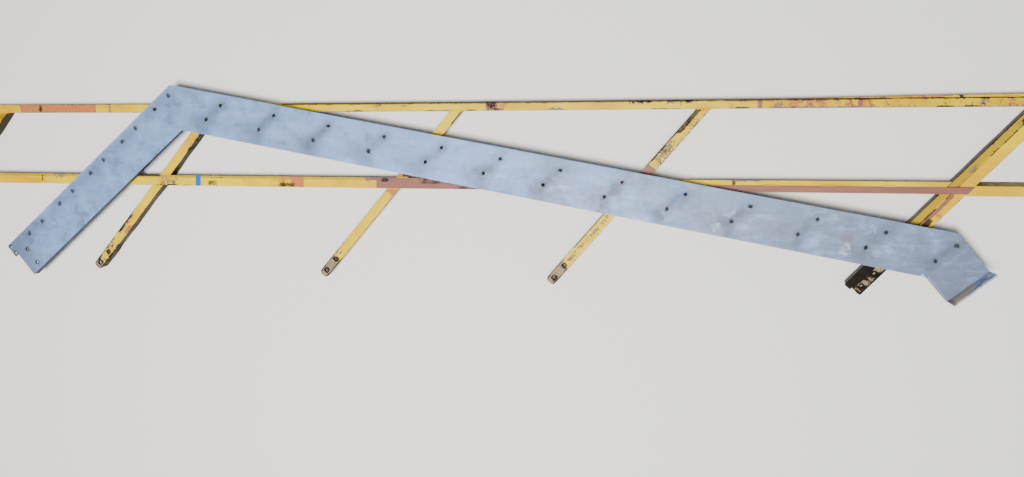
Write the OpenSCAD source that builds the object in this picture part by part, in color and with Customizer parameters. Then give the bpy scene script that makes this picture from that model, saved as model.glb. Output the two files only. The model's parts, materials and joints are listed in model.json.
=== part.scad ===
// Welded angle-iron stair guard rail lying flat, with a cranked stair stringer resting across it.
// +X runs along the rails, +Y across them towards the top rail, +Z up from the ground.

/* [Rails] */
// Width of the top rail's face and of its down-turned leg
top_w = 44; // [36:1:52]
// Width of the middle rail's face and leg
mid_w = 57; // [44:1:60]
// Width of the next section's middle rail
next_mid_w = 51; // [40:1:60]
// Metal thickness of rails, posts and bars
steel_t = 6; // [5:0.5:8]
// Distance from the top rail's lower edge to the middle rail's upper edge
rail_gap = 349; // [260:1:450]
// Overhang of each rail past the first post
rail_tail = 40; // [10:1:100]
// Where the rails are cut off past the last post
rail_head = 65; // [50:1:200]

/* [Posts] */
// Width of a post's face and of its down-turned leg
post_w = 51; // [40:1:60]
// Face width of the lighter end post of the first section
end_post_w = 38; // [32:1:45]
// Distance from the top rail's lower edge to the post ends, square to the rails
post_drop = 884; // [700:1:1000]
// Angle between a post and the rails
post_angle = 49.2; // [44:0.1:60]
// Angle between the two end posts and the rails
end_angle = 47.5; // [44:0.1:60]
// Spacing of posts 1 and 2 along the rails
bay_1 = 1329; // [1100:1:1600]
// Spacing of posts 2 and 3 along the rails
bay_2 = 1397; // [1100:1:1600]
// Spacing of posts 3 and 4 along the rails
bay_3 = 1254; // [1100:1:1500]
// Spacing of post 4 and the next section's post along the rails
bay_4 = 1548; // [1200:1:1700]
// Corner radius of a post's foot
foot_r = 18; // [8:0.5:19]
// Corner radius of the two end posts' feet
end_foot_r = 9; // [4:0.5:18]
// Corner radius of the down-turned leg at the foot
leg_r = 42; // [20:1:45]
// Diameter of the foot bolt holes
foot_hole_d = 17.5; // [12:0.5:20]
// Pitch of the two foot bolt holes
foot_pitch = 83; // [60:1:100]
// Distance from the post's end to the first foot bolt hole
foot_edge = 36; // [25:1:50]
// Diameter of the small third hole above the bolt holes
pilot_d = 9; // [6:0.5:12]
// Distance from the second bolt hole to the small third hole
pilot_gap = 46; // [35:1:60]

/* [Splices] */
// Width of the lap bar on the middle rail
bar_w = 32; // [25:1:38]
// How far the lap bar stands out below the middle rail's lower edge
bar_out = 0; // [0:0.5:10]
// Length of the lap bar, measured back from the next section's post
bar_len = 1750; // [900:10:2000]
// Width of the next section's top rail, which nests under the first one
nest_w = 37; // [28:0.5:37]
// Length of the nested overlap, measured back from the rail's cut end
nest_len = 1290; // [600:10:1800]
// Turn of the next section's top rail against the first one
nest_turn = 0.8; // [0:0.1:0.9]
// Roll of the next section's middle rail about its own heel
roll = 22; // [0:1:30]

/* [Stringer] */
// Width of the stringer's web
web_w = 230; // [200:1:260]
// Depth of the stringer's flanges
flange_h = 40; // [30:1:50]
// Metal thickness of the stringer
web_t = 6; // [5:0.5:8]
// Length of the flight along its outer edge
flight_len = 4094; // [3900:1:4300]
// Angle between the flight and a line through a bolt pair
pair_angle = 50.2; // [45:0.1:55]
// Pitch of the tread bolt pairs along the flight
tread_pitch = 315.5; // [300:0.5:320]
// Number of tread bolt pairs along the flight
tread_count = 13; // [6:1:13]
// Distance from the flight's outer edge to the upper hole of each pair
tread_edge = 58; // [45:1:70]
// Distance from the flight's outer corner to the first pair
tread_first = 317; // [300:1:330]
// Spacing of the two holes of a pair
pair_gap = 115; // [100:1:120]
// Diameter of the tread bolt holes
tread_hole_d = 14; // [10:0.5:18]
// Length of the leg along its outer edge
leg_len = 1400; // [1380:1:1600]
// Pitch of the bolt pairs down the leg
leg_pitch = 274.5; // [200:0.5:280]
// Distance from the outer corner to the leg's first hole
leg_first = 43.5; // [35:0.5:60]
// Distance from the leg's outer edge to its holes
leg_edge = 39; // [30:1:60]
// Depth of the leg's inner flange where it meets the flight
leg_flange_start = 15; // [8:1:40]
// Width of the tab at the leg's end
tab_w = 80; // [60:1:100]
// How far the tab stands past the leg's end
tab_out = 25; // [10:1:40]
// Number of bolt pairs down the leg
leg_pairs = 5; // [3:1:5]
// Length of the head from its seam to the end plate
head_len = 142; // [80:1:200]
// Thickness of the end plate
plate_t = 8; // [6:0.5:12]
// Height of the end plate above the web
plate_up = 95; // [60:1:120]
// Turn of the flight against the rails, as the stringer lies
lay_angle = 10.2; // [8:0.1:12]
// Place of the stringer's outer corner along the rails, from post 2
lay_x = -214; // [-260:1:-180]
// Place of the stringer's outer corner above the top rail's lower edge
lay_y = 141.5; // [120:0.5:160]

/* [Hidden] */
$fn = 48;
lay_gap = 0.3;                 // air between the lap bar and the stringer lying on it
weld = 5;                      // leg of a fillet weld
cap_w = 9;                     // width of a weld cap over a seam
cap_h = 1.6;                   // height of a weld cap
notch_gap = 3;                 // clearance of the middle rail's notches round a post
stitch_len = 60;               // length of a stitch weld
stitch_pitch = 270;            // from one stitch weld to the next
splice_weld = 4;               // leg of the weld along the nested rail
twin_gap = 0.3;                // clearance between the two end posts
end_short = 30;                // how much shorter the first end post is at its foot
face_z = post_w;               // top of the posts and of the top rail
lap_z = face_z + steel_t;      // top of the middle rail
bar_z = lap_z + steel_t;       // top of the lap bar
lay_z = bar_z + lay_gap;       // underside of the stringer's flanges
web_z = lay_z + flange_h;      // top of the stringer's web

next_x = bay_2 + bay_3 + bay_4;
end_x = next_x - ((end_post_w + post_w) / 2 + twin_gap) / sin(end_angle);
post_x = [-bay_1, 0, bay_2, bay_2 + bay_3, end_x, next_x];
post_face = [post_w, post_w, post_w, post_w, end_post_w, post_w];
post_turn = [post_angle, post_angle, post_angle, post_angle, end_angle, end_angle];
post_side = [-1, -1, 1, 1, 1, -1];     // which edge the down-turned leg is on: 1 left, -1 right
post_round = [foot_r, foot_r, foot_r, foot_r, end_foot_r, end_foot_r];
post_bolted = [true, true, true, true, false, true];
post_short = [0, 0, 0, 0, end_short, 0];
function post_len(i) = post_drop / sin(post_turn[i]);
function across(i) = post_face[i] / sin(post_turn[i]);
function post_at(i, y) = post_x[i] + y / tan(post_turn[i]);

mid_top = -rail_gap;
mid_low = mid_top - mid_w;
rail_left = -bay_1 - across(0) / 2 - rail_tail;
rail_right = next_x + rail_head;
nest_left = rail_right - nest_len;
bar_left = post_at(5, mid_low) - bar_len;
heel_y = mid_top - next_mid_w * sin(roll);
heel_drop = 2;                 // how far the rolled rail's heel lies below the middle rail's face

// Stringer outline, with its outer corner at the origin and the flight along +X
leg_dir = [-cos(pair_angle), -sin(pair_angle)];
head_dir = [sin(pair_angle), -cos(pair_angle)];
mitre = web_w * tan(pair_angle / 2);
head_start = web_w * tan((90 - pair_angle) / 2);
corner_b = [flight_len, 0];
inner_a = [mitre, -web_w];
inner_c = [flight_len - head_start, -web_w];
seam_d = corner_b + head_start * head_dir;
head_turn = pair_angle - 90;
rim = web_t / web_w;           // share of the web's width that a flange takes
leg_end = leg_len + tab_out;
tab_holes = [16, 64];          // across the leg, from its outer edge
tab_edge = 15;
end_holes = [96, 192];
end_edge = 66;
function turn(p, a) = [p[0] * cos(a) - p[1] * sin(a), p[0] * sin(a) + p[1] * cos(a)];
function laid(p) = turn(p, -lay_angle) + [lay_x, lay_y];

// Middle of the whole outline, which becomes the origin
foot_mid = [post_at(0, -post_drop), -post_drop];
foot_in = post_w / 2 - foot_r;
x_low = foot_mid[0] + foot_r * (cos(post_angle) - 1) - foot_in * sin(post_angle);
leg_low = laid(leg_len * leg_dir + web_w * head_dir);
function foot_low(i) = (post_short[i] + post_round[i]) * sin(post_turn[i]) - post_drop - post_round[i]
    - (post_face[i] / 2 - post_round[i]) * cos(post_turn[i]);
y_low = min([leg_low[1], for (i = [0:5]) foot_low(i)]);
y_high = lay_y;
ground = min(0, lap_z - mid_w);
middle = [(x_low + rail_right) / 2, (y_low + y_high) / 2, ground];

module box_x(x0, x1, y0, y1, z0, z1) {
    translate([x0, y0, z0]) cube([x1 - x0, y1 - y0, z1 - z0]);
}

// A weld cap of length l along +X, lying on the plane z = 0
module cap(l) {
    cap_r = (cap_w * cap_w / 4 + cap_h * cap_h) / (2 * cap_h);
    intersection() {
        translate([0, 0, cap_h - cap_r]) rotate([0, 90, 0]) cylinder(r = cap_r, h = l, $fn = 96);
        translate([0, -cap_w, 0]) cube([l, 2 * cap_w, 2 * cap_h]);
    }
}

// A fillet weld of length l along +X, in the corner of the planes y = 0 and z = 0
module fillet(l, leg = weld) {
    rotate([90, 0, 90]) linear_extrude(l) polygon([[0, 0], [leg, 0], [0, leg]]);
}

// Everything on one post, in the post's own frame: +X up the post, +Y to its left
module along_post(i) {
    translate([post_at(i, -post_drop), -post_drop, 0]) rotate([0, 0, post_turn[i]]) children();
}

module rounded_strip(len, low, high, r) {
    translate([r, low]) square([len - r, high - low]);
    translate([0, low + r]) square([len, high - low - 2 * r]);
    for (y = [low + r, high - r]) translate([r, y]) circle(r);
}

module post(i) {
    w = post_face[i];
    reach = post_len(i) + w;
    round_r = post_round[i];
    edge = post_side[i] > 0 ? w / 2 - steel_t : -w / 2;
    difference() {
        along_post(i) difference() {
            translate([post_short[i], 0, 0]) union() {
                translate([0, 0, face_z - steel_t]) linear_extrude(steel_t)
                    rounded_strip(reach, -w / 2, w / 2, round_r);
                translate([0, edge + steel_t, 0]) rotate([90, 0, 0]) linear_extrude(steel_t) union() {
                    translate([leg_r, 0]) square([reach - leg_r, face_z]);
                    translate([round_r, leg_r]) square([reach - round_r, face_z - leg_r]);
                    intersection() {
                        translate([leg_r, leg_r]) circle(leg_r);
                        translate([round_r, 0]) square([leg_r, face_z]);
                    }
                }
            }
            if (post_bolted[i]) {
                for (u = [foot_edge, foot_edge + foot_pitch])
                    translate([u, 0, -1]) cylinder(d = foot_hole_d, h = face_z + 2);
                translate([foot_edge + foot_pitch + pilot_gap, 0, -1]) cylinder(d = pilot_d, h = face_z + 2);
            }
        }
        box_x(post_x[i] - 3 * post_w, post_x[i] + 3 * post_w, 0, 3 * post_w, -1, face_z + 1);
    }
}

module angle_bar(x0, x1, w, y0, z1, leg_at_top) {
    leg_y = leg_at_top ? y0 + w - steel_t : y0;
    box_x(x0, x1, y0, y0 + w, z1 - steel_t, z1);
    box_x(x0, x1, leg_y, leg_y + steel_t, z1 - w, z1);
}

// The region to the left of a line through the edge of a post, square to the ground
module left_of(i, side) {
    reach = rail_right - rail_left + rail_gap;
    along_post(i) translate([-reach, side * post_face[i] / 2, -1]) cube([2 * reach, 2 * reach, 2 * bar_z]);
}

module top_rail() {
    color("gold") angle_bar(rail_left, rail_right - rail_head / 2, top_w, 0, face_z, false);
}

module next_top_rail() {
    color("goldenrod") translate([nest_left, steel_t, 0]) rotate([0, 0, nest_turn])
        angle_bar(0, nest_len, nest_w, 0, face_z - steel_t, false);
}

module middle_rail() {
    color("gold") intersection() {
        difference() {
            angle_bar(rail_left + post_at(0, mid_low) - post_x[0], end_x, mid_w, mid_low, lap_z, true);
            for (i = [0:3]) along_post(i) translate([0, -post_face[i] / 2 - notch_gap, -1])
                cube([post_len(i), post_face[i] + 2 * notch_gap, face_z + 1]);
        }
        left_of(4, 1);
    }
}

module next_middle_rail() {
    start = post_at(5, mid_low) - post_w;
    color("yellow") difference() {
        translate([start, heel_y, lap_z - heel_drop]) rotate([180 + roll, 0, 0])
            angle_profile(rail_right - start);
        left_of(5, -1);
    }
}

// An angle with its heel on the X axis and its legs towards +Y and +Z
module angle_profile(l) {
    rotate([90, 0, 90]) linear_extrude(l) union() {
        square([next_mid_w, steel_t]);
        square([steel_t, next_mid_w]);
    }
}

module lap_bar() {
    color("rosybrown") intersection() {
        box_x(bar_left, next_x, mid_low - bar_out, mid_low - bar_out + bar_w, lap_z, bar_z);
        left_of(5, -1);
    }
}

module top_rail_welds() {
    color("darkgoldenrod") for (i = [0:5])
        translate([post_x[i] - across(i) / 2 + 2, 0, face_z]) cap(across(i) - 4);
}

module middle_rail_welds() {
    end_low = (mid_low + post_drop - end_post_w / 2 * cos(end_angle)) / sin(end_angle);
    end_run = mid_w / sin(end_angle) - 2 * weld;
    color("darkgoldenrod") {
        for (i = [0:3]) {
            run = across(i) - 2 * weld;
            translate([post_at(i, mid_top) - run / 2, mid_top, face_z]) fillet(run);
            translate([post_at(i, mid_low) + run / 2, mid_low, face_z]) rotate([0, 0, 180]) fillet(run);
        }
        along_post(4) translate([end_low + weld + end_run, end_post_w / 2, face_z])
            rotate([0, 0, 180]) fillet(end_run);
    }
}

module lap_bar_welds() {
    color("darkgoldenrod") for (x = [bar_left + stitch_len : stitch_pitch : bar_left + bar_len - 2 * stitch_len])
        translate([x, mid_low - bar_out + bar_w, lap_z]) fillet(stitch_len);
}

module splice_welds() {
    color("darkgoldenrod") for (k = [1:3])
        translate([rail_right - k * nest_len / 5, top_w, face_z - steel_t]) fillet(stitch_len, splice_weld);
}

module twin_post_welds() {
    color("darkgoldenrod") for (u = [foot_edge + 2 * foot_pitch + stitch_len : stitch_pitch : post_len(5) - 2 * stitch_len])
        along_post(5) translate([u, post_w / 2, face_z]) cap(stitch_len);
}

module laid_out() {
    translate([lay_x, lay_y, 0]) rotate([0, 0, -lay_angle]) children();
}

// The web plate, with the outline given
module web(outline) {
    translate([0, 0, web_z - web_t]) linear_extrude(web_t) polygon(outline);
}

// A flange under the web, with the outline given
module flange(outline) {
    translate([0, 0, lay_z]) linear_extrude(flange_h - web_t) polygon(outline);
}

module bolt_pair(p) {
    for (q = [p, p + pair_gap * leg_dir])
        translate([q[0], q[1], lay_z]) cylinder(d = tread_hole_d, h = flange_h + 1);
}

module stringer_flight() {
    color("lightsteelblue") laid_out() difference() {
        union() {
            web([[0, 0], inner_a, inner_c, seam_d, corner_b]);
            flange([[0, 0], rim * inner_a, corner_b + rim * (inner_c - corner_b),
                seam_d + web_t * leg_dir, seam_d, corner_b]);
            flange([inner_a, inner_c, inner_c - web_t / sin(pair_angle) * leg_dir, (1 - rim) * inner_a]);
        }
        for (k = [0:tread_count - 1]) bolt_pair([tread_first + k * tread_pitch, -tread_edge]);
    }
}

// Children drawn in the leg's own frame: +X down the leg, +Y from its outer edge to its inner edge
module in_leg() {
    laid_out() rotate([0, 0, pair_angle + 180]) children();
}

module leg_hole(x, y) {
    translate([x, y, lay_z]) cylinder(d = tread_hole_d, h = flange_h + 1);
}

module stringer_leg() {
    spare = flange_h - leg_flange_start;
    color("lightsteelblue") in_leg() difference() {
        union() {
            web([[0, 0], [leg_end, 0], [leg_end, tab_w], [leg_len, tab_w], [leg_len, web_w], [mitre, web_w]]);
            flange([[0, 0], [leg_end, 0], [leg_end, web_t], [mitre * rim, web_t]]);
            flange([[mitre, web_w], [mitre * (1 - rim), web_w - web_t], [leg_len, web_w - web_t], [leg_len, web_w]]);
        }
        translate([0, web_w + 1, lay_z]) rotate([90, 0, 0]) linear_extrude(web_t + 1)
            polygon([[mitre - 50, -1], [mitre - 50, spare], [mitre, spare], [leg_len, 0], [leg_len, -1]]);
        for (k = [0:leg_pairs - 1], step = [0, pair_gap]) leg_hole(leg_first + k * leg_pitch + step, leg_edge);
        for (y = tab_holes) leg_hole(leg_end - tab_edge, y);
        for (y = end_holes) leg_hole(leg_len - end_edge, y);
    }
}

module stringer_head() {
    reach = head_len * head_dir;
    lip = web_t * leg_dir;
    color("lightsteelblue") laid_out() {
        web([seam_d, inner_c, inner_c + reach, seam_d + reach]);
        flange([seam_d, seam_d + lip, seam_d + lip + reach, seam_d + reach]);
        flange([inner_c - lip, inner_c, inner_c + reach, inner_c - lip + reach]);
    }
}

module stringer_end_plate() {
    color("silver") laid_out() translate([each(inner_c + head_len * head_dir), lay_z])
        rotate([0, 0, head_turn]) cube([plate_t, web_w, flange_h + plate_up]);
}

module corner_weld() {
    color("silver") laid_out() translate([0, 0, web_z]) rotate([0, 0, pair_angle / 2 - 90])
        translate([2, 0, 0]) cap(norm(inner_a) - 4);
}

module head_weld() {
    color("silver") laid_out() translate([each(inner_c), web_z]) rotate([0, 0, pair_angle])
        translate([2, 0, 0]) cap(web_w - 4);
}

module end_plate_welds() {
    color("silver") laid_out() translate([each(inner_c + head_len * head_dir), web_z])
        rotate([0, 0, pair_angle]) translate([5, 0, 0]) fillet(web_w - 10);
}

translate(-middle) {
    top_rail();
    next_top_rail();
    middle_rail();
    next_middle_rail();
    lap_bar();
    color("gold") post(0);  // post_1
    color("gold") post(1);  // post_2
    color("gold") post(2);  // post_3
    color("gold") post(3);  // post_4
    color("goldenrod") post(4);  // end_post
    color("gold") post(5);  // next_post
    top_rail_welds();
    middle_rail_welds();
    lap_bar_welds();
    splice_welds();
    twin_post_welds();
    stringer_flight();
    stringer_leg();
    stringer_head();
    stringer_end_plate();
    corner_weld();
    head_weld();
    end_plate_welds();
}
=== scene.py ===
import json
import math
import bpy
import bmesh
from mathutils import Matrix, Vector, kdtree, noise


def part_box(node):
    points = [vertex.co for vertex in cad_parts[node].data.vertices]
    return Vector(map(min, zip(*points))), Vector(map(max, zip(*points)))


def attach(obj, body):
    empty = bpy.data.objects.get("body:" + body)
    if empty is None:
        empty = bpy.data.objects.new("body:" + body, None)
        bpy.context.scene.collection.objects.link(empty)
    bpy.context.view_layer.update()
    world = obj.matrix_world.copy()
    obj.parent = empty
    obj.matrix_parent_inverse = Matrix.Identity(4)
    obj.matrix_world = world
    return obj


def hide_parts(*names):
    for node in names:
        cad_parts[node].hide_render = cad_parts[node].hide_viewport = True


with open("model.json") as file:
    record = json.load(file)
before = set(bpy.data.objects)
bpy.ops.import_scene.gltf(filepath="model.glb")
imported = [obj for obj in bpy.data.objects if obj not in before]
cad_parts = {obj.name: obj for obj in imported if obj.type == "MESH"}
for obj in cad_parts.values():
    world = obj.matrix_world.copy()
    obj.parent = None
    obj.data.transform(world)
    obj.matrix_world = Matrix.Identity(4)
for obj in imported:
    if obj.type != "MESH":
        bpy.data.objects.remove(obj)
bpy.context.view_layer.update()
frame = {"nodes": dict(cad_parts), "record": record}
mountRows = {m["name"]: m for m in frame["record"]["mounts"]}
mounts = {name: Vector(row["pos_m"]) for name, row in mountRows.items()}

# metres, degrees and millimetres of lens
camera = dict(place=(1.4803, 0.2351, 4.0709), turn=(-5.591, 10.570, 0.089), far=60,
              lens=28.02, sensor=36, shiftX=-0.02227, shiftY=-0.01857)


def smooth(x, low, high):
    t = min(1.0, max(0.0, (x - low) / (high - low)))
    return t * t * (3 - 2 * t)


def band(x, low, high, soft):
    return smooth(x, low - soft, low + soft) * (1 - smooth(x, high - soft, high + soft))


def heading(angle):
    return Vector((math.cos(angle), math.sin(angle), 0))


def leftOf(angle):
    return Vector((-math.sin(angle), math.cos(angle), 0))


def linear(hexColour):
    # an sRGB hex colour as linear light
    parts = [int(hexColour[i:i + 2], 16) / 255 for i in (1, 3, 5)]
    return tuple(c / 12.92 if c <= 0.04045 else ((c + 0.055) / 1.055) ** 2.4 for c in parts) + (1.0,)


def addObject(name, data):
    obj = bpy.data.objects.new(name, data)
    bpy.context.scene.collection.objects.link(obj)
    return obj


def addNode(tree, kind, values=None, links=None, **settings):
    node = tree.nodes.new(kind)
    for name, value in settings.items():
        setattr(node, name, value)
    for key, value in (values or {}).items():
        node.inputs[key].default_value = value
    for key, source in (links or {}).items():
        tree.links.new(source, node.inputs[key])
    return node


def feed(tree, socket, value):
    # a socket takes another socket, a hex colour or a plain value
    if isinstance(value, bpy.types.NodeSocket):
        tree.links.new(value, socket)
    else:
        socket.default_value = linear(value) if isinstance(value, str) else value


def newMaterial(name):
    material = bpy.data.materials.new(name)
    material.use_nodes = True
    tree = material.node_tree
    tree.nodes.clear()
    return material, tree


def mixColour(tree, mask, first, second):
    node = addNode(tree, "ShaderNodeMix", data_type="RGBA")
    for socket, value in ((0, mask), (6, first), (7, second)):
        feed(tree, node.inputs[socket], value)
    return node.outputs[2]


def maths(tree, operation, first, second):
    node = addNode(tree, "ShaderNodeMath", operation=operation)
    feed(tree, node.inputs[0], first)
    feed(tree, node.inputs[1], second)
    return node.outputs[0]


def layOver(tree, colour, mask, strength, coat):
    # lays a coat over the colour so far, where its mask is, at most as strong as given
    return mixColour(tree, maths(tree, "MULTIPLY", mask, strength), colour, coat)


def ramp(tree, value, low, high, start=0.0, end=1.0):
    node = addNode(tree, "ShaderNodeMapRange", {1: low, 2: high, 3: start, 4: end}, {0: value},
                   interpolation_type="SMOOTHSTEP")
    return node.outputs[0]


def noiseField(tree, coords, sizeMm, detail=4.0, rough=0.55, stretch=None, turnDeg=0.0):
    # sizeMm is the width of one blotch on the real surface
    if stretch:
        turned = {"Scale": stretch, "Rotation": (0, 0, math.radians(turnDeg))}
        coords = addNode(tree, "ShaderNodeMapping", turned, {0: coords}).outputs[0]
    grain = {"Scale": 1000 / sizeMm, "Detail": detail, "Roughness": rough}
    return addNode(tree, "ShaderNodeTexNoise", grain, {"Vector": coords}).outputs[0]


def attribute(tree, name):
    return addNode(tree, "ShaderNodeAttribute", attribute_name=name).outputs["Fac"]


def objectCoords(tree):
    return addNode(tree, "ShaderNodeTexCoord").outputs["Object"]


def finishShader(tree, colour, roughness, metallic, height, bumpMm, extras=None):
    shader = addNode(tree, "ShaderNodeBsdfPrincipled", extras)
    bump = addNode(tree, "ShaderNodeBump", {"Strength": 1.0, "Distance": bumpMm / 1000}, {"Height": height})
    for key, value in (("Base Color", colour), ("Roughness", roughness), ("Metallic", metallic),
                       ("Normal", bump.outputs[0])):
        feed(tree, shader.inputs[key], value)
    output = addNode(tree, "ShaderNodeOutputMaterial")
    tree.links.new(shader.outputs[0], output.inputs[0])


# alkyd enamel brushed over red-oxide primer on hot-rolled steel: bright, chipped, worn to metal on its edges
enamel = dict(bright="#E8C800", pale="#F0D400", deep="#D6A400", dullness_and_shade="#A68A08", primer="#84564E",
              primerPale="#98624E", salmon="#CE7C34", steel="#ACA088", rust="#5E361A", dark="#17110A",
              blue="#1464C4", shade="#3A2E08", specular=0.22,
              chipMm=9, patchMm=42, streakMm=60, broadMm=420, fineMm=2.4, bumpMm=0.35)


def makeEnamel(name, values):
    material, tree = newMaterial(name)
    coords = objectCoords(tree)
    broad = noiseField(tree, coords, values["broadMm"], 3)
    patch = noiseField(tree, coords, values["patchMm"], 5, 0.6)
    chip = noiseField(tree, coords, values["chipMm"], 5, 0.65)
    streak = noiseField(tree, coords, values["streakMm"], 4, 0.6, (0.25, 4, 4))
    fine = noiseField(tree, coords, values["fineMm"], 3)
    uneven = maths(tree, "SUBTRACT", patch, 0.5)
    ragged = maths(tree, "ADD", maths(tree, "MULTIPLY", uneven, 1.1),
                   maths(tree, "MULTIPLY", maths(tree, "SUBTRACT", chip, 0.5), 0.7))

    def worn(kind, low, high, wobble=1.0):
        spread = maths(tree, "ADD", attribute(tree, kind), maths(tree, "MULTIPLY", ragged, wobble))
        return ramp(tree, spread, low, high)

    colour = mixColour(tree, ramp(tree, broad, 0.36, 0.6), values["deep"], values["bright"])
    colour = layOver(tree, colour, ramp(tree, patch, 0.44, 0.24), 0.6, values["deep"])
    colour = layOver(tree, colour, ramp(tree, streak, 0.5, 0.7), 0.5, values["pale"])
    # darker yellow: paint gone dull in places, and painted shade on the upper strips of the rails and over
    # end_post
    colour = layOver(tree, colour, worn("dullness_and_shade", 0.1, 1.1, 0.5), 0.85, values["dullness_and_shade"])
    # salmon undercoat and red-oxide primer show through where the top coat has gone
    salmon = mixColour(tree, ramp(tree, chip, 0.4, 0.65), values["salmon"], values["primerPale"])
    colour = mixColour(tree, worn("salmon", 0.4, 0.62), colour, salmon)
    primer = mixColour(tree, ramp(tree, streak, 0.4, 0.7), values["primer"], values["primerPale"])
    colour = mixColour(tree, worn("primer", 0.42, 0.56, 0.5), colour, primer)
    colour = mixColour(tree, worn("blue", 0.45, 0.6, 0.35), colour, values["blue"])
    # bare metal and rust: a few small chips anywhere, and most of them along the edges
    edge = maths(tree, "MULTIPLY", attribute(tree, "edge"), ramp(tree, broad, 0.35, 0.65, 0.12, 0.34))
    bareSum = maths(tree, "ADD", edge, maths(tree, "MULTIPLY", attribute(tree, "bare"), 0.42))
    bareSum = maths(tree, "ADD", bareSum, maths(tree, "ADD", chip, maths(tree, "MULTIPLY", uneven, 0.5)))
    bare = ramp(tree, bareSum, 0.78, 0.82)
    metal = mixColour(tree, ramp(tree, fine, 0.4, 0.6), values["rust"], values["steel"])
    # bare metal is darker where the dark marks lie, painted shade and shadow among them
    darker = maths(tree, "ADD", patch, maths(tree, "MULTIPLY", attribute(tree, "dark"), 0.5))
    metal = mixColour(tree, ramp(tree, darker, 0.6, 0.72), metal, values["dark"])
    colour = layOver(tree, colour, ramp(tree, bareSum, 0.73, 0.78), 0.55, values["primer"])
    colour = mixColour(tree, bare, colour, metal)
    # painted shade darkens the upright faces of the legs; the dark marks are real scuffs and grime, and also
    # painted shade and shadow along rail edges, at crossings and low on the legs
    colour = layOver(tree, colour, worn("side", 0.15, 0.75, 0.5), 0.86, values["shade"])
    colour = layOver(tree, colour, worn("dark", 0.3, 0.75, 0.8), 0.93, values["dark"])
    rough = maths(tree, "ADD", ramp(tree, patch, 0.3, 0.7, 0.42, 0.56), maths(tree, "MULTIPLY", bare, 0.2))
    height = maths(tree, "SUBTRACT", maths(tree, "MULTIPLY", fine, 0.12), bare)
    finishShader(tree, colour, rough, maths(tree, "MULTIPLY", bare, 0.35), height, values["bumpMm"],
                 {"Specular IOR Level": values["specular"]})
    return material


# hot-dip zinc: a soft blue-grey bloom with faint spangle, rubbed grey where treads sat, white where it pooled
zinc = dict(base="#7C9BD0", pale="#9EBAE8", grey="#677692", smudge="#525C70", white="#C4D4EC", dirt="#A89A80",
            rust="#6A3A22", blue="#1A58DC", shade="#07080B", mauve="#6E6678",
            spangleMm=11, mottleMm=260, cloudMm=70, wispMm=120, wipeMm=55, fineMm=3.0, bumpMm=0.25)


def makeZinc(name, values):
    material, tree = newMaterial(name)
    coords = objectCoords(tree)
    mottle = noiseField(tree, coords, values["mottleMm"], 4, 0.55)
    cloud = noiseField(tree, coords, values["cloudMm"], 5, 0.6)
    wipe = noiseField(tree, coords, values["wipeMm"], 4, 0.6, (0.35, 2.6, 1), 40)
    fine = noiseField(tree, coords, values["fineMm"], 4, 0.6)
    spangle = addNode(tree, "ShaderNodeTexVoronoi", {"Scale": 1000 / values["spangleMm"]}, {"Vector": coords})
    facet = addNode(tree, "ShaderNodeSeparateColor", links={0: spangle.outputs["Color"]}).outputs[0]

    def stained(kind, spread, low, high, source=cloud):
        wobble = maths(tree, "MULTIPLY", maths(tree, "SUBTRACT", source, 0.5), spread)
        return ramp(tree, maths(tree, "ADD", attribute(tree, kind), wobble), low, high)

    # the bloom of the zinc itself
    colour = mixColour(tree, stained("greyer", 1.5, 0.1, 1.0, mottle), values["base"], values["grey"])
    colour = layOver(tree, colour, ramp(tree, cloud, 0.48, 0.8), 0.6, values["pale"])
    colour = layOver(tree, colour, ramp(tree, wipe, 0.5, 0.75), 0.25, values["pale"])
    colour = layOver(tree, colour, ramp(tree, cloud, 0.5, 0.25), 0.55, values["smudge"])
    wisp = noiseField(tree, coords, values["wispMm"], 5, 0.68, (0.7, 1.6, 1), 17)
    colour = layOver(tree, colour, ramp(tree, wisp, 0.53, 0.7), 0.4, values["smudge"])
    colour = layOver(tree, colour, ramp(tree, wisp, 0.46, 0.3), 0.45, values["pale"])
    colour = layOver(tree, colour, facet, 0.1, values["pale"])
    # what service has left on it, and at the end painted shade
    smudge = maths(tree, "MULTIPLY", attribute(tree, "smudge"), ramp(tree, cloud, 0.3, 0.66, 0.35, 1.0))
    colour = layOver(tree, colour, smudge, 0.85, values["smudge"])
    halo = maths(tree, "MULTIPLY", attribute(tree, "halo"), ramp(tree, cloud, 0.4, 0.62, 0.0, 0.4))
    colour = mixColour(tree, halo, colour, values["white"])
    colour = layOver(tree, colour, stained("mauve", 1.6, 0.35, 0.9), 0.7, values["mauve"])
    white = stained("white", 1.6, 0.55, 0.95)
    colour = layOver(tree, colour, white, 0.75, values["white"])
    dirt = stained("dirt", 1.2, 0.35, 0.7)
    rusted = maths(tree, "ADD", fine, maths(tree, "MULTIPLY", attribute(tree, "rust"), 0.4))
    soil = mixColour(tree, ramp(tree, rusted, 0.55, 0.75), values["dirt"], values["rust"])
    colour = layOver(tree, colour, dirt, 0.85, soil)
    colour = layOver(tree, colour, stained("mark", 0.9, 0.35, 0.9), 0.6, values["blue"])
    colour = layOver(tree, colour, attribute(tree, "edge"), 0.12, values["pale"])
    # painted shade on the end faces that look towards the plate and in a ring round each hole
    colour = layOver(tree, colour, attribute(tree, "side"), 0.95, values["shade"])
    rough = ramp(tree, maths(tree, "ADD", cloud, maths(tree, "MULTIPLY", facet, 0.1)), 0.3, 0.8, 0.46, 0.64)
    metallic = ramp(tree, maths(tree, "ADD", dirt, white), 0.0, 1.0, 0.3, 0.05)
    height = maths(tree, "ADD", maths(tree, "MULTIPLY", fine, 0.3), maths(tree, "MULTIPLY", facet, 0.12))
    finishShader(tree, colour, rough, metallic, height, values["bumpMm"])
    return material


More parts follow.
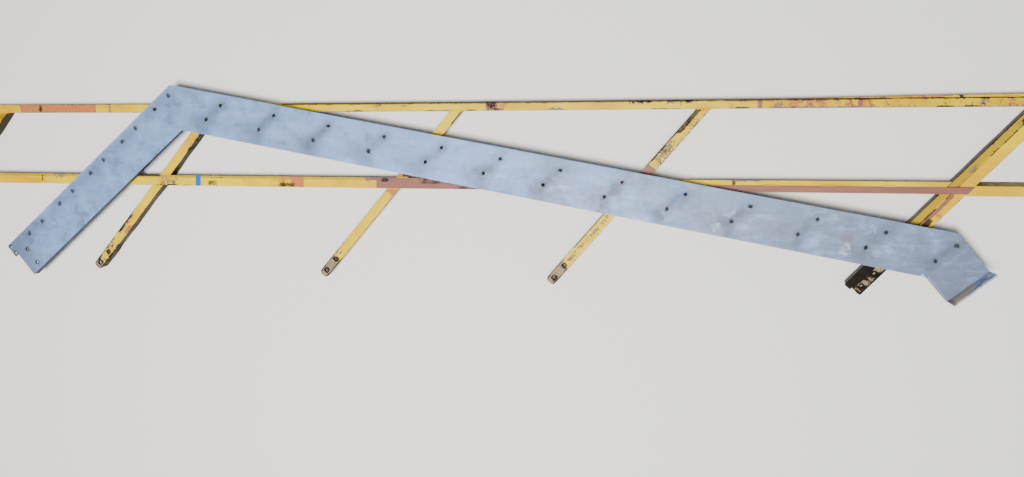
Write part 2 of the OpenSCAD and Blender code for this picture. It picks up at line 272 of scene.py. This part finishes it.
print("materials")
enamelPaint = makeEnamel("worn yellow enamel over red-oxide primer", enamel)
zincCoat = makeZinc("hot-dip galvanised steel", zinc)
weldPaint = makeEnamel("enamelled weld bead", dict(enamel, chipMm=5, patchMm=24))
zincBead = makeZinc("zinc-coated weld bead",
                    dict(zinc, base="#7C92BC", pale="#8CA2CA", spangleMm=4, cloudMm=12))

# angles in degrees, lengths in metres, and cuts as shares of a member's width or height
steelwork = dict(layAngle=-10.2, postAngle=49.2, endAngle=47.5, pairAngle=50.2,
                 slice=0.012, zincSlice=0.012, plateSlice=0.008, rounding=0.0011, zincRounding=0.0014,
                 faceCuts=(0.08, 0.18, 0.34, 0.5, 0.66, 0.82, 0.92), riseCuts=(0.1, 0.3, 0.6, 0.8),
                 zincRiseCuts=(0.2, 0.5), flatAngle=0.6, sharpAngle=35, smoothAngle=28, edgeReach=0.006,
                 bow=0.0032, bowSpan=3.4, sway=0.0012, warp=0.0016, ripple=0.0004,
                 dent=0.0065, dentPitch=0.11, legTop=0.0505, legDepth=0.046)
postNodes = ("post_1", "post_2", "post_3", "post_4", "end_post", "next_post")
enamelKinds = ("dullness_and_shade", "salmon", "primer", "blue", "bare", "side", "dark")
zincKinds = ("smudge", "halo", "greyer", "mark", "white", "mauve", "dirt", "rust", "side")

# where paint has gone, and where painted shade and shadow lie: kind, from and to along X in metres, strength,
# then from and to across the face (0 at its lower or right edge, 1 at its upper or left edge)
patches = dict(
    top_rail=[
        ("salmon", -2.29, -1.80, 1.0), ("salmon", -2.45, -2.35, 0.35),
        ("dark", -2.170, -2.148, 0.7, 0.1, 1.0), ("dullness_and_shade", -2.20, -2.05, 0.6), ("bare", -1.72, -1.70, 0.7),
        # the dark strips along the upper edge, from about 0.8 across and up, are painted shade of the rail's
        # back flange
        ("dullness_and_shade", -1.80, -1.62, 0.5, 0.6, 1.2), ("dark", -2.9, -0.66, 0.42, 0.95, 1.3),
        ("dark", -0.66, 1.30, 1.0, 0.82, 1.3), ("dark", 1.22, 2.40, 0.85, 0.80, 1.3),
        ("dullness_and_shade", -0.6, 1.9, 0.6, 0.74, 1.2), ("dark", -0.30, -0.16, 0.7, -0.2, 0.1),
        ("dark", 0.15, 0.31, 0.9, -0.2, 0.08), ("dark", 0.37, 0.43, 0.7, -0.2, 0.16),
        ("bare", -0.25, -0.20, 0.9, -0.2, 0.2), ("bare", -0.13, -0.09, 0.9, 0.5, 0.95),
        ("bare", 0.01, 0.045, 0.9, 0.4, 1.0), ("primer", 0.475, 0.532, 1.2), ("bare", 0.475, 0.532, 0.75),
        ("dark", 0.478, 0.530, 0.45, 0.15, 1.0), ("primer", 0.53, 0.570, 0.9, -0.2, 0.3),
        ("dark", 0.53, 0.570, 0.5, -0.2, 0.2), ("salmon", 0.53, 0.59, 0.55, 0.3, 1.2),
        ("bare", 0.78, 0.88, 0.75, 0.0, 0.35), ("dullness_and_shade", 1.86, 3.3, 0.5), ("bare", 1.93, 3.2, 0.33),
        ("bare", 1.20, 1.32, 0.8, 0.6, 0.95), ("bare", 1.38, 1.45, 0.9, 0.55, 0.95),
        ("dark", 1.455, 1.463, 0.9, 0.3, 1.0), ("bare", 1.48, 1.55, 0.9, 0.6, 1.0),
        ("dark", 1.30, 1.47, 0.8, -0.2, 0.08), ("dark", 1.72, 1.79, 0.9, -0.2, 0.18),
        ("primer", 1.825, 1.852, 0.85), ("bare", 1.90, 1.95, 0.8, 0.0, 0.7), ("salmon", 1.62, 1.80, 0.35),
        ("bare", 1.88, 2.30, 0.7, -0.2, 0.22), ("salmon", 1.90, 2.36, 0.5),
        ("primer", 2.28, 2.31, 0.8, 0.0, 0.8), ("salmon", 2.0, 2.9, 0.55, 0.84, 1.2),
        ("salmon", 2.36, 2.66, 0.34), ("salmon", 2.70, 2.90, 0.3), ("dark", 2.660, 2.672, 0.9, 0.3, 0.85),
        ("dark", 2.630, 2.715, 1.0, -0.2, 0.14), ("dark", 2.757, 2.815, 1.0, -0.2, 0.14),
        ("primer", 2.87, 3.3, 0.42, 0.0, 0.5), ("dark", 1.9, 3.3, 0.8, 0.84, 1.3),
        ("salmon", 2.80, 3.3, 0.42), ("bare", 2.82, 2.86, 0.8, 0.3, 1.0)
    ],
    next_top_rail=[
        ("salmon", 1.90, 2.78, 0.52), ("dullness_and_shade", 1.9, 2.8, 0.4), ("dark", 2.728, 2.750, 1.0),
        # the dark strip along its upper edge is painted shade of the rail's back flange
        ("dark", 1.9, 3.3, 0.6, 0.88, 1.2)
    ],
    middle_rail=[
        ("dullness_and_shade", -2.8, -0.12, 0.9, 0.72, 1.2), ("dark", -2.17, -2.160, 0.9, 0.2, 0.9),
        # painted shadow: the dark line along the upper edge from -1.70 to -1.40, and the one under the lower
        # edge from -1.44 to -1.20, by post_2
        ("bare", -2.10, -2.02, 0.7, 0.5, 1.0), ("dark", -1.70, -1.40, 0.9, 0.86, 1.2),
        ("salmon", -1.42, -1.30, 0.45), ("bare", -1.42, -1.30, 0.6, 0.0, 0.9),
        ("dark", -1.44, -1.20, 0.9, -0.2, 0.07), ("blue", -1.190, -1.156, 1.0),
        ("bare", -1.26, -1.20, 0.3, 0.0, 0.9), ("dark", -1.115, -1.055, 0.62, 0.05, 0.55),
        ("dark", -1.10, -1.02, 0.7, 0.78, 0.88), ("dark", -0.90, -0.885, 0.6, 0.5, 0.8),
        ("dark", -0.690, -0.592, 0.66, 0.0, 0.5), ("salmon", -0.70, -0.60, 0.4),
        ("salmon", -0.61, -0.540, 1.1), ("dark", -0.38, -0.34, 0.6, 0.0, 0.12),
        ("bare", -0.19, -0.15, 0.8, 0.5, 1.0), ("primer", -0.125, 0.95, 1.3),
        ("dark", 0.10, 0.95, 0.5, 0.4, 1.2), ("dark", 0.30, 0.95, 0.5, -0.2, 1.2),
        ("primer", -0.19, -0.12, 0.9, 0.7, 1.2), ("dark", -0.10, -0.055, 0.9, 0.6, 0.95),
        ("dark", 1.715, 1.732, 1.0, 0.55, 0.95), ("bare", 1.70, 1.84, 0.6, 0.85, 1.2),
        ("dullness_and_shade", 1.3, 2.75, 0.25)
    ],
    next_middle_rail=[("dullness_and_shade", 2.6, 3.3, 0.2)],
    lap_bar=[("primer", -1.0, 4.0, 1.2)],
    post_1=[("dark", -4.0, -2.2, 0.55)],
    post_2=[
        ("dark", -1.68, -1.59, 0.6, 0.78, 1.2), ("bare", -1.68, -1.58, 0.9, 0.6, 1.2),
        ("salmon", -1.67, -1.62, 0.7, 0.0, 0.5), ("bare", -1.25, -1.12, 0.7, -0.2, 0.3),
        ("bare", -1.86, -1.70, 0.55)
    ],
    post_3=[
        # the dark patch from 0.02 to 0.14, at the middle rail's crossing, is painted shadow
        ("salmon", -0.06, 0.10, 0.9), ("dark", 0.02, 0.14, 0.85, -0.2, 0.7),
        ("bare", -0.06, 0.02, 0.6, 0.2, 0.8), ("dark", 0.27, 0.36, 0.8, -0.2, 0.12),
        ("bare", -0.62, -0.28, 0.5, 0.75, 1.2), ("dark", -0.9, -0.45, 0.5, -0.2, 0.1)
    ],
    post_4=[
        ("primer", 1.262, 1.322, 1.2), ("dark", 1.46, 1.58, 1.1, 0.6, 1.2),
        ("dark", 1.32, 1.46, 0.7, 0.86, 1.2), ("bare", 1.32, 1.60, 0.45), ("salmon", 1.36, 1.60, 0.3),
        ("bare", 0.90, 1.12, 0.6, 0.2, 0.8), ("bare", 1.34, 1.44, 0.8, 0.2, 0.9),
        ("dark", 0.95, 1.16, 0.55, 0.88, 1.2)
    ],
    end_post=[
        # the dark strip along the left edge is painted shade; the dark lower end from 2.1 to 2.5 is painted
        # shadow of the stringer over worn paint
        ("dullness_and_shade", 2.2, 3.4, 1.15), ("dark", 2.4, 3.4, 0.7, 0.88, 1.2), ("bare", 2.86, 3.0, 0.4),
        ("dark", 2.1, 2.50, 0.95), ("bare", 2.78, 2.82, 0.9, 0.1, 0.6), ("dark", 2.995, 3.03, 1.0, 0.0, 0.6),
        ("primer", 2.66, 2.74, 0.42, -0.2, 0.5)
    ],
    next_post=[
        ("primer", 2.66, 2.72, 0.5, 0.5, 1.2), ("primer", 2.60, 2.74, 0.8, 0.62, 0.94),
        ("dark", 2.50, 2.76, 0.9, 0.93, 1.3), ("dark", 2.595, 2.635, 1.1, 0.3, 0.8),
        # the dark lower end from 2.1 to 2.5 is painted shadow of the stringer over worn paint
        ("bare", 2.50, 2.62, 0.4), ("salmon", 2.64, 2.72, 0.35), ("dark", 2.1, 2.50, 0.34)
    ]
)

# how a patch of wear ends: its ragged outline, its softness, and a crisper one for a short patch, in metres
ageing = dict(ragged=0.004, raggedPerMetre=55, soft=0.014, crisp=0.006, short=0.03,
              rim=0.006, holeRim=0.0095, holeFade=0.0145, nearGround=0.030)
# how far up from its bolts each foot has lost its paint
footWear = dict(post_1=0.05, post_2=-0.03, post_3=0.055, post_4=0.06, end_post=0.10, next_post=0.12)
footPitch = mountRows["post_1_foot_bolts"]["dims"]["pcd_mm"] / 1000


def memberAngle(name):
    if name in ("end_post", "next_post"):
        return math.radians(steelwork["endAngle"])
    return math.radians(steelwork["postAngle"]) if name in postNodes else 0.0


def closedMesh(node):
    bm = bmesh.new()
    bm.from_mesh(frame["nodes"][node].data)
    bmesh.ops.remove_doubles(bm, verts=bm.verts, dist=2e-6)
    return bm


def meshCopy(node):
    # the node's own solid, with its flat faces whole again
    bm = closedMesh(node)
    flat = math.radians(steelwork["flatAngle"])
    bmesh.ops.dissolve_limit(bm, angle_limit=flat, verts=bm.verts, edges=bm.edges)
    return bm


def reachAlong(bm, direction):
    places = [v.co.dot(direction) for v in bm.verts]
    return min(places), max(places)


def sliceAlong(bm, direction, places):
    for place in places:
        geometry = bm.verts[:] + bm.edges[:] + bm.faces[:]
        bmesh.ops.bisect_plane(bm, geom=geometry, plane_co=direction * place, plane_no=direction, dist=1e-6)


def sliceEvenly(bm, direction, step):
    low, high = reachAlong(bm, direction)
    sliceAlong(bm, direction, [low + (k + 0.5) * step for k in range(int((high - low) / step))])


def sliceRise(bm, node, shares):
    low, high = (corner[2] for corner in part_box(node))
    sliceAlong(bm, Vector((0, 0, 1)), [low + (high - low) * s for s in shares])


def sharpEdges(bm):
    limit = math.radians(steelwork["sharpAngle"])
    return [e for e in bm.edges if len(e.link_faces) == 2 and e.calc_face_angle(0) > limit]


def edgeTree(bm, step=0.005):
    points = []
    for e in sharpEdges(bm):
        a, b = (v.co for v in e.verts)
        count = max(1, int((b - a).length / step))
        points += [a.lerp(b, k / count) for k in range(count + 1)]
    tree = kdtree.KDTree(len(points))
    for k, p in enumerate(points):
        tree.insert(p, k)
    tree.balance()
    return tree


def roundEdges(bm, edges, rounding):
    # rounds the sharp edges and gives each vertex's nearness to where they were, from 0 to 1
    bmesh.ops.bevel(bm, geom=sharpEdges(bm), offset=rounding, segments=2, profile=0.6,
                    affect="EDGES", clamp_overlap=True)
    return [max(0.0, 1 - edges.find(v.co)[2] / steelwork["edgeReach"]) for v in bm.verts]


def setLayer(mesh, kind, amounts):
    mesh.attributes.new(kind, "FLOAT", "POINT").data.foreach_set("value", amounts)


def newPiece(name, bm, wear, material, body, replaced):
    mesh = bpy.data.meshes.new(name)
    bm.normal_update()
    normals = [v.normal.copy() for v in bm.verts]
    bm.to_mesh(mesh)
    bm.free()
    setLayer(mesh, "edge", wear)
    obj = addObject(name, mesh)
    mesh.materials.append(material)
    mesh.shade_smooth()
    mesh.set_sharp_from_angle(angle=math.radians(steelwork["smoothAngle"]))
    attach(obj, body)
    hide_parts(replaced)
    return obj, normals


def frameField(p):
    # a long welded frame is never quite straight: one slow bow and a little sway, shared by all its pieces
    bow = steelwork["bow"] * (0.7 + math.cos(math.pi * (p.x + 0.4) / steelwork["bowSpan"]))
    return Vector((0, -bow, steelwork["sway"] * noise.noise(Vector((p.x * 0.9, p.y * 0.9, 3.1)))))


def dents(node, p, along, across):
    # the upright leg of each post is knocked about near the ground, most on the first two
    if node not in postNodes or p.z > steelwork["legTop"]:
        return Vector((0, 0, 0))
    size = steelwork["dent"] * (1.0 if node in ("post_1", "post_2") else 0.25)
    depth = smooth(steelwork["legTop"] - p.z, 0.0, steelwork["legDepth"])
    place = p.dot(along) / steelwork["dentPitch"]
    phase = postNodes.index(node) * 3.7
    sideways = noise.noise(Vector((place, phase, 0.5)))
    upward = 0.5 + noise.noise(Vector((place * 1.3, 7.7, phase)))
    return across * (size * depth * sideways) + Vector((0, 0, 0.5 * size * depth * upward))


def footLayers(layers, i, bareTo, reach, place, wide, upright):
    # a foot is bare up to bareTo, dark along both rims, and has painted shade low on its upright leg and
    # round its bolt holes
    layers["bare"][i] += (1.1 if upright < 0.5 else 0.2) * (1 - smooth(reach, bareTo - 0.05, bareTo + 0.02))
    layers["dark"][i] += upright * (0.3 + 0.75 * (1 - smooth(reach, 0.0, 0.25)))
    rim = max(0.0, 1 - min(place, 1 - place) * wide / ageing["rim"])
    layers["dark"][i] += rim * (0.62 + 0.6 * (1 - smooth(reach, 0.02, 0.10)))
    for side in (-0.5, 0.5):
        hole = math.hypot(reach - side * footPitch, (place - 0.5) * wide)
        layers["dark"][i] += 1.2 * (1 - smooth(hole, ageing["holeRim"], ageing["holeFade"]))


def enamelLayers(name, mesh, normals, across, low, wide):
    layers = {k: [0.0] * len(mesh.vertices) for k in enamelKinds}
    along = heading(memberAngle(name))
    isPost = name in postNodes
    foot = mounts.get(name + "_foot_bolts", mounts["next_post_foot_bolts"]).dot(along)
    for v in mesh.vertices:
        i, p = v.index, v.co
        place = (p.dot(across) - low) / wide
        x = p.x + ageing["ragged"] * noise.noise(p * ageing["raggedPerMetre"])
        if isPost:
            # squared to the post: the place along X of its middle line
            x -= (p.dot(across) - low - wide / 2) * across.x
        for kind, start, end, strength, *rest in patches[name]:
            amount = band(x, start, end, ageing["crisp" if end - start < ageing["short"] else "soft"])
            if rest:
                amount *= band(place, rest[0], rest[1], min(0.07, (rest[1] - rest[0]) / 4))
            layers[kind][i] = max(layers[kind][i], strength * amount)
        # painted shade: upright faces, most of all on the posts, are darkened as if turned from the light
        upright = 1 - smooth(abs(normals[i].z), 0.35, 0.8)
        layers["side"][i] = upright if isPost else 0.7 * upright
        if isPost:
            footLayers(layers, i, footWear[name], p.dot(along) - foot, place, wide, upright)
        if p.z < ageing["nearGround"]:
            layers["dark"][i] += 0.2
    for kind in enamelKinds:
        setLayer(mesh, kind, layers[kind])


def wornMember(node):
    bm = meshCopy(node)
    angle = memberAngle(node)
    along, across = heading(angle), leftOf(angle)
    edges = edgeTree(bm)
    low, high = reachAlong(bm, across)
    wide = high - low
    sliceEvenly(bm, along, steelwork["slice"])
    sliceAlong(bm, across, [low + wide * s for s in steelwork["faceCuts"]])
    sliceRise(bm, node, steelwork["riseCuts"])
    wear = roundEdges(bm, edges, steelwork["rounding"])
    rest = [v.co.copy() for v in bm.verts]
    obj, normals = newPiece(node + "_steel", bm, wear, enamelPaint, "frame", node)
    enamelLayers(node, obj.data, normals, across, low, wide)
    for v, p in zip(obj.data.vertices, rest):
        v.co = p + frameField(p) + dents(node, p, along, across)


print("frame members")
for node in patches:
    wornMember(node)

flightAngle = math.radians(steelwork["layAngle"])
flightDir, flightSide = heading(flightAngle), leftOf(flightAngle)
legAngle = flightAngle + math.radians(steelwork["pairAngle"]) + math.pi
legDir, headDir = heading(legAngle), heading(legAngle + math.pi / 2)
treadPairs = [p for n, p in mounts.items() if n.startswith("tread_bolts")]
legPairs = [p for n, p in mounts.items() if n.startswith("leg_bolts")]


def boltHoles(start):
    # the two holes of every bolt pair whose name starts so, with their radius
    holes = []
    for name, row in mountRows.items():
        if name.startswith(start):
            along = legDir if name.startswith(("leg_bolts", "tread_bolts")) else headDir
            half, radius = row["dims"]["pcd_mm"] / 2000, row["dims"]["hole_r_mm"] / 1000
            holes += [(mounts[name] + along * half * side, radius) for side in (-1, 1)]
    return holes


stringerHoles = boltHoles("leg_") + boltHoles("tread_bolts")

# stains on the zinc, and painted shade round its holes: the widths in metres of a tread's rubbed mark, its
# fan, a hole's halo and its dark rim of painted shade, then strengths, then each spot as kind, x, y, radius
# and strength
stains = dict(
    rub=0.034, fan=0.055, halo=0.016, rim=0.006,
    plateDirt=0.46, plateWhite=0.75, headSmudge=0.32, endSmudge=0.7,
    spots=[
        ("mark", -1.010, 0.400, 0.022, 0.45), ("mark", 0.560, 0.140, 0.018, 0.7),
        ("mark", 1.440, -0.055, 0.03, 0.55), ("mark", 0.869, 0.086, 0.018, 0.8),
        ("mark", 1.488, -0.020, 0.022, 1.0), ("mark", 1.394, -0.097, 0.016, 0.6),
        ("mark", 1.797, -0.075, 0.020, 0.8), ("mark", 1.70, -0.15, 0.018, 0.5),
        ("mark", 2.330, -0.215, 0.03, 0.45), ("white", 1.640, -0.187, 0.042, 0.75),
        ("white", 2.243, -0.278, 0.06, 0.6), ("white", 2.401, -0.312, 0.05, 0.5),
        ("white", 2.360, -0.175, 0.04, 0.5), ("white", 1.700, -0.11, 0.04, 0.6),
        ("white", 1.28, -0.13, 0.04, 0.5), ("white", 2.592, -0.392, 0.012, 1.6),
        ("white", 0.10, 0.10, 0.05, 0.5), ("white", 0.83, 0.07, 0.04, 0.5),
        ("mauve", -0.86, 0.235, 0.10, 0.45), ("mauve", -0.62, 0.17, 0.10, 0.5),
        ("mauve", -0.40, 0.15, 0.07, 0.4), ("mauve", 2.25, -0.225, 0.045, 0.6),
        ("mauve", -2.28, -0.45, 0.12, 0.45), ("mauve", 1.14, -0.02, 0.06, 0.5),
        ("mauve", 1.60, -0.12, 0.06, 0.5), ("mauve", 2.70, -0.42, 0.12, 0.5)
    ]
)
halfPair = mountRows["tread_bolts_01"]["dims"]["pcd_mm"] / 2000


def pairStain(p, centre, fanned):
    # how far a point lies in the mark that a tread left round its bolt pair, and in the halo of a hole
    d = p - centre
    if abs(d.x) > 0.3 or abs(d.y) > 0.3:
        return 0.0, 0.0
    a, b = d.dot(legDir), d.dot(headDir)
    wide = stains["rub"] * (1 + 0.5 * noise.noise(Vector((centre.x * 9, a * 14, 1.7))))
    if fanned:
        wide += stains["fan"] * smooth(a, halfPair - 0.03, halfPair + 0.08)
    run = smooth(a, -halfPair - 0.07, -halfPair + 0.01) * (1 - smooth(a, halfPair + 0.04, halfPair + 0.13))
    shift = 0.006 * noise.noise(Vector((centre.x * 5, a * 9, 4.0)))
    halo = 0.0
    for side in (1, -1):
        hole = centre + legDir * halfPair * side
        halo = max(halo, 1 - smooth(math.hypot(p.x - hole.x, p.y - hole.y), 0.008, stains["halo"]))
    return run * math.exp(-((b - shift) / wide) ** 2), halo


def zincAmounts(name, p, normal, plateMiddle):
    # how much of each kind of stain, and of painted shade, lies at one point
    amounts = dict.fromkeys(zincKinds, 0.0)

    def atLeast(kind, amount):
        amounts[kind] = max(amounts[kind], amount)

    for centre in treadPairs:
        smudge, halo = pairStain(p, centre, True)
        atLeast("smudge", smudge)
        atLeast("halo", halo)
    # painted shade: a dark ring round each hole
    for place, radius in stringerHoles:
        r = math.hypot(p.x - place.x, p.y - place.y)
        atLeast("side", 1.1 * (1 - smooth(r, radius + 0.001, radius + stains["rim"])))
    for centre in legPairs:
        atLeast("smudge", 0.5 * pairStain(p, centre, False)[0])
    amounts["greyer"] = 0.95 * smooth(p.x, -0.4, 1.9) + 0.35 * (1 - smooth(p.x, -2.35, -2.0))
    for kind, x, y, radius, strength in stains["spots"]:
        r = math.hypot(p.x - x, p.y - y)
        if r < radius * 1.6:
            atLeast(kind, strength * (1 - smooth(r, radius * 0.3, radius * 1.4)))
    # soil has washed down against the upright plate, red-brown at its inner corner
    ahead, inward = (p - plateMiddle).dot(headDir), (p - plateMiddle).dot(legDir)
    soil = smooth(ahead, -0.016, -0.002) * smooth(inward, -0.12, 0.06)
    amounts["dirt"] = soil * (1 - smooth(p.z, 0.16, 0.22) * 0.4)
    amounts["rust"] = smooth(ahead, -0.05, 0.0) * smooth(inward, 0.085, 0.115)
    if name == "stringer_head":
        atLeast("smudge", stains["headSmudge"])
    atLeast("smudge", stains["endSmudge"] * (1 - smooth(p.x, -2.36, -2.10)))
    if name == "stringer_end_plate":
        atLeast("dirt", stains["plateDirt"])
        amounts["white"] = stains["plateWhite"]
    else:
        # the end faces that look towards the plate lie in its shade
        atLeast("side", smooth(normal.dot(headDir), 0.35, 0.8) * (1.0 if name == "stringer_leg" else 0.6))
    return amounts


def zincLayers(name, mesh, normals):
    low, high = (Vector(corner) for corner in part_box("stringer_end_plate"))
    points = [zincAmounts(name, v.co, normals[v.index], (low + high) / 2) for v in mesh.vertices]
    for kind in zincKinds:
        setLayer(mesh, kind, [amounts[kind] for amounts in points])


def stringerField(p):
    # the plate is a little warped, and the zinc on it is not quite even
    warp = steelwork["warp"] * noise.noise(Vector((p.x * 1.1, p.y * 2.0, 9.2)))
    return Vector((0, 0, warp + steelwork["ripple"] * noise.noise(Vector((p.x * 14, p.y * 14, 2.2)))))


def zincPlate(node, along, across, step):
    bm = meshCopy(node)
    edges = edgeTree(bm)
    for direction in (along, across):
        sliceEvenly(bm, direction, step)
    sliceRise(bm, node, steelwork["zincRiseCuts"])
    wear = roundEdges(bm, edges, steelwork["zincRounding"])
    obj, normals = newPiece(node + "_zinc", bm, wear, zincCoat, "stringer", node)
    zincLayers(node, obj.data, normals)
    for v in obj.data.vertices:
        v.co += stringerField(v.co)


print("stringer")
zincPlate("stringer_flight", flightDir, flightSide, steelwork["zincSlice"])
zincPlate("stringer_leg", legDir, headDir, steelwork["zincSlice"])
zincPlate("stringer_head", headDir, legDir, steelwork["plateSlice"])
zincPlate("stringer_end_plate", headDir, legDir, steelwork["plateSlice"])

# lengths in metres; fillet, cap, mitre and foot say how far a bead's line lies above the foot of its weld
beads = dict(ripple=0.0026, wander=0.0006, radius=0.0045, step=0.012, small=(0.55, 0.92, 0.92),
             large=(0.75, 1.08, 1.08), fillet=0.001, cap=-0.0014, mitre=-0.0042, foot=-0.002,
             wear=dict(greyer=0.4, bare=0.25, dark=0.2))


def beadTree(material):
    # overlapping squashed balls along a curve, like the ripples of a hand-laid weld
    tree = bpy.data.node_groups.new("weld bead", "GeometryNodeTree")
    face = tree.interface
    face.new_socket("Geometry", in_out="INPUT", socket_type="NodeSocketGeometry")
    ripple = face.new_socket("Ripple pitch", in_out="INPUT", socket_type="NodeSocketFloat")
    radius = face.new_socket("Bead radius", in_out="INPUT", socket_type="NodeSocketFloat")
    face.new_socket("Geometry", in_out="OUTPUT", socket_type="NodeSocketGeometry")
    inputs = addNode(tree, "NodeGroupInput")
    points = addNode(tree, "GeometryNodeResampleCurve", mode="LENGTH")
    tree.links.new(inputs.outputs[0], points.inputs["Curve"])
    tree.links.new(inputs.outputs[1], points.inputs["Length"])
    ball = addNode(tree, "GeometryNodeMeshIcoSphere", {"Subdivisions": 2})
    tree.links.new(inputs.outputs[2], ball.inputs["Radius"])
    tangent = addNode(tree, "GeometryNodeInputTangent")
    turn = addNode(tree, "FunctionNodeAlignRotationToVector", links={"Vector": tangent.outputs[0]}, axis="X")
    size = addNode(tree, "FunctionNodeRandomValue", data_type="FLOAT_VECTOR")
    size.inputs[0].default_value = beads["small"]
    size.inputs[1].default_value = beads["large"]
    size.inputs["Seed"].default_value = 5
    place = addNode(tree, "GeometryNodeInstanceOnPoints", links={
        "Points": points.outputs[0], "Instance": ball.outputs[0], "Rotation": turn.outputs[0],
        "Scale": size.outputs[0]})
    real = addNode(tree, "GeometryNodeRealizeInstances", links={0: place.outputs[0]})
    shade = addNode(tree, "GeometryNodeSetShadeSmooth", links={0: real.outputs[0]})
    paint = addNode(tree, "GeometryNodeSetMaterial", {"Material": material}, {0: shade.outputs[0]})
    addNode(tree, "NodeGroupOutput", links={0: paint.outputs[0]})
    return tree, ripple.identifier, radius.identifier


def looseParts(bm):
    # the vertices of each separate solid
    seen = set()
    for start in bm.verts:
        if start in seen:
            continue
        part, queue = [], [start]
        seen.add(start)
        while queue:
            v = queue.pop()
            part.append(v.co.copy())
            for e in v.link_edges:
                w = e.other_vert(v)
                if w not in seen:
                    seen.add(w)
                    queue.append(w)
        yield part


def beadLines(node, direction):
    # the two ends of each weld along its direction, and its lowest level
    bm = closedMesh(node)
    lines = []
    for part in looseParts(bm):
        middle = sum(part, Vector()) / len(part)
        reach = [(p - middle).dot(direction) for p in part]
        level = min(p.z for p in part)
        lines.append((middle + direction * min(reach), middle + direction * max(reach), level))
    bm.free()
    return lines


def makeBeads(node, direction, above, material, body):
    curve = bpy.data.curves.new(node, "CURVE")
    curve.dimensions = "3D"
    for start, end, level in beadLines(node, direction):
        count = max(3, int((end - start).length / beads["step"]))
        spline = curve.splines.new("POLY")
        spline.points.add(count - 1)
        for k in range(count):
            p = start.lerp(end, k / (count - 1))
            p.z = level + above
            p += Vector((noise.noise(p * 60), noise.noise(p * 60 + Vector((9, 1, 4))), 0)) * beads["wander"]
            p += frameField(p) if body == "frame" else stringerField(p)
            spline.points[k].co = (*p, 1)
    source = addObject(node + "_curve", curve)
    tree, rippleId, radiusId = beadTree(material)
    modifier = source.modifiers.new("bead", "NODES")
    modifier.node_group = tree
    modifier[rippleId] = beads["ripple"]
    modifier[radiusId] = beads["radius"]
    evaluated = source.evaluated_get(bpy.context.evaluated_depsgraph_get())
    mesh = bpy.data.meshes.new_from_object(evaluated)
    obj = addObject(node + "_beads", mesh)
    bpy.data.objects.remove(source)
    for kind in (enamelKinds if body == "frame" else zincKinds) + ("edge",):
        setLayer(mesh, kind, [beads["wear"].get(kind, 0.0)] * len(mesh.vertices))
    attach(obj, body)
    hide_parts(node)


print("weld beads")
alongX = heading(0)
endDir = heading(math.radians(steelwork["endAngle"]))
mitreDir = heading(flightAngle + math.radians(steelwork["pairAngle"] / 2 - 90))
paintedWelds = dict(top_rail_welds=(alongX, "cap"), middle_rail_welds=(alongX, "fillet"),
                    lap_bar_welds=(alongX, "fillet"), splice_welds=(alongX, "fillet"),
                    twin_post_welds=(endDir, "cap"))
zincWelds = dict(corner_weld=(mitreDir, "mitre"), head_weld=(legDir, "mitre"),
                 end_plate_welds=(legDir, "foot"))
for node, (direction, seat) in paintedWelds.items():
    makeBeads(node, direction, beads[seat], weldPaint, "frame")
for node, (direction, seat) in zincWelds.items():
    makeBeads(node, direction, beads[seat], zincBead, "stringer")

# metres and watts
studio = dict(floorHalf=14, floorColour="#F2F2F0", floorRough=0.9, sky="#EEF2F8", skyStrength=0.27)
lights = dict(key=dict(place=(0.1, -1.7, 9.0), aim=(-0.3, 0, 0), size=3.0, power=1560, colour="#FFFBF2"),
              fill=dict(place=(3.2, -2.6, 5.5), aim=(0.5, 0, 0), size=5.0, power=60, colour="#E6EEFF"))


def makeFloor():
    mesh = bpy.data.meshes.new("floor")
    half = studio["floorHalf"]
    corners = [(-half, -half, 0), (half, -half, 0), (half, half, 0), (-half, half, 0)]
    mesh.from_pydata(corners, [], [(0, 1, 2, 3)])
    floor = addObject("floor", mesh)
    material, tree = newMaterial("pale floor")
    shader = addNode(tree, "ShaderNodeBsdfPrincipled",
                     {"Base Color": linear(studio["floorColour"]), "Roughness": studio["floorRough"]})
    output = addNode(tree, "ShaderNodeOutputMaterial")
    tree.links.new(shader.outputs[0], output.inputs[0])
    mesh.materials.append(material)


def makeSky():
    world = bpy.data.worlds.new("studio")
    world.use_nodes = True
    background = world.node_tree.nodes["Background"]
    background.inputs[0].default_value = linear(studio["sky"])
    background.inputs[1].default_value = studio["skyStrength"]
    bpy.context.scene.world = world


def makeLight(name, place, aim, size, power, colour):
    data = bpy.data.lights.new(name, "AREA")
    data.size = size
    data.energy = power
    data.color = linear(colour)[:3]
    light = addObject(name, data)
    light.location = place
    light.rotation_euler = (Vector(aim) - Vector(place)).to_track_quat("-Z", "Y").to_euler()


def makeCamera():
    data = bpy.data.cameras.new("camera")
    data.lens = camera["lens"]
    data.sensor_width = camera["sensor"]
    data.shift_x = camera["shiftX"]
    data.shift_y = camera["shiftY"]
    data.clip_end = camera["far"]
    obj = addObject("camera", data)
    obj.location = camera["place"]
    obj.rotation_euler = [math.radians(a) for a in camera["turn"]]
    bpy.context.scene.camera = obj


print("stage")
makeFloor()
makeSky()
for name, light in lights.items():
    makeLight(name, **light)
makeCamera()
